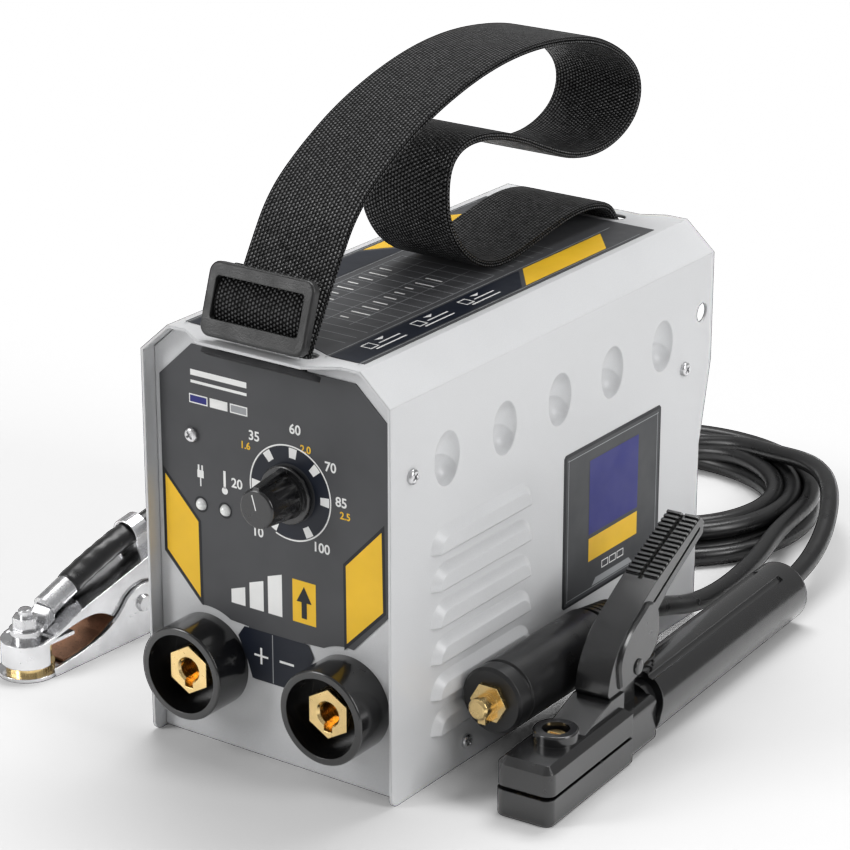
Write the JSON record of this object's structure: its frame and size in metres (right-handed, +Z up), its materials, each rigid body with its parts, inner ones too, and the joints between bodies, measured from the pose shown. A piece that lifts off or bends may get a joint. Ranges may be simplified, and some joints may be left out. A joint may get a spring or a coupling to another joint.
{
  "type": "stick welder",
  "caption": "Portable inverter stick welder in a louvred grey case, with a carrying strap, current knob, two sockets, electrode holder, earth clamp and coiled leads.",
  "frame": {"origin": "middle of the flat underside of the case", "axes": "+Z up, the front panel with its sockets faces -Y, +X is to the right seen from the front"},
  "size_m": [0.2724, 0.4156, 0.2671],
  "materials": {
    "case_paint": "light grey powder coat, fine texture, satin",
    "chassis_paint": "light grey powder coat, satin",
    "overlay": "printed polycarbonate film, satin",
    "side_overlay": "printed film, satin",
    "screw_steel": "zinc-plated steel",
    "black_plastic": "glossy black moulded plastic",
    "knob_plastic": "glossy black moulded plastic",
    "buckle_plastic": "grained black moulded plastic",
    "brass": "machined brass",
    "copper": "tinned copper, dull",
    "webbing": "black woven polypropylene webbing",
    "zinc_steel": "bright zinc-plated pressed steel",
    "cable_rubber": "black welding-cable rubber",
    "sleeve_rubber": "black moulded rubber",
    "lamp_clear": "clear indicator lens",
    "fibreglass": "green glass-fibre circuit board",
    "heatsink": "extruded aluminium",
    "ferrite": "dark sintered ferrite",
    "winding": "enamelled copper wire",
    "component_black": "black epoxy package",
    "capacitor_sleeve": "blue shrink sleeve",
    "fan_plastic": "black glass-filled plastic",
    "guard_wire": "bright steel wire",
    "switch_plastic": "black moulded plastic"
  },
  "bodies": {
    "root": {"base_chassis": "chassis_paint", "cover": "case_paint", "front_fascia": "overlay", "top_label": "overlay", "side_labels": "side_overlay", "case_screws": "screw_steel", "potentiometer": "zinc_steel", "indicator_lights": "lamp_clear", "socket_bodies": "black_plastic", "socket_contacts": "brass", "control_board": "fibreglass", "power_board": "fibreglass", "primary_heatsink": "heatsink", "secondary_heatsink": "heatsink", "power_transistors": "component_black", "transformer_core": "ferrite", "transformer_winding": "winding", "output_choke": "winding", "capacitors": "capacitor_sleeve", "bridge_rectifier": "component_black", "fan_housing": "fan_plastic", "fan_guard": "guard_wire", "switch_housing": "switch_plastic", "mains_gland": "fan_plastic", "carry_strap": "webbing", "strap_tail": "webbing", "strap_buckle": "buckle_plastic", "strap_anchors": "black_plastic", "holder_lower_jaw": "black_plastic", "holder_lower_arm": "brass", "holder_body": "black_plastic", "holder_handle": "black_plastic", "holder_pivot_pin": "screw_steel", "holder_spring": "component_black", "clamp_lower_jaw": "zinc_steel", "clamp_pivot_rivet": "screw_steel", "clamp_spring": "screw_steel", "clamp_lower_contact": "brass", "earth_plug_sleeve": "sleeve_rubber", "earth_plug_pin": "brass", "electrode_plug_sleeve": "sleeve_rubber", "electrode_plug_pin": "brass", "earth_lead_clamp_run": "cable_rubber", "earth_lead_plug_run": "cable_rubber", "earth_lead_coil": "cable_rubber", "electrode_lead_holder_run": "cable_rubber", "electrode_lead_plug_run": "cable_rubber", "electrode_lead_coil": "cable_rubber"},
    "knob": {"current_knob": "knob_plastic", "knob_shaft": "screw_steel"},
    "fan": {"fan_impeller": "fan_plastic"},
    "rocker": {"rocker_button": "switch_plastic"},
    "lever": {"holder_upper_jaw": "black_plastic", "holder_upper_arm": "brass", "holder_lever": "black_plastic"},
    "clamp_jaw": {"clamp_upper_jaw": "zinc_steel", "clamp_upper_contact": "brass", "clamp_bolt": "screw_steel", "clamp_lug": "screw_steel", "clamp_lead_end": "cable_rubber"}
  },
  "joints": [
    {"name": "current_knob_turn", "type": "hinge", "parent": "root", "child": "knob", "pos_m": [0.0075, -0.118, 0.118], "axis": [0, 1, 0], "range_deg": [-150, 150]},
    {"name": "fan_spin", "type": "hinge", "parent": "root", "child": "fan", "pos_m": [0, 0.09, 0.112], "axis": [0, 1, 0], "continuous": true},
    {"name": "mains_rocker", "type": "hinge", "parent": "root", "child": "rocker", "pos_m": [-0.03, 0.1046, 0.038], "axis": [-1, 0, 0], "range_deg": [0, 20]},
    {"name": "holder_lever_pivot", "type": "hinge", "parent": "root", "child": "lever", "pos_m": [0.10273, -0.02213, 0.038], "axis": [0.9983, 0.0576, 0], "range_deg": [-16, 0], "stiffness_Nm_per_rad": 2, "springref_deg": 28.65, "deforming": ["holder_spring"]},
    {"name": "clamp_jaw_pivot", "type": "hinge", "parent": "root", "child": "clamp_jaw", "pos_m": [-0.13635, -0.04812, 0.0154], "axis": [0.9982, -0.0593, 0], "range_deg": [-25, 0], "stiffness_Nm_per_rad": 2, "springref_deg": 28.65, "deforming": ["clamp_spring", "earth_lead_clamp_run"]}
  ]
}
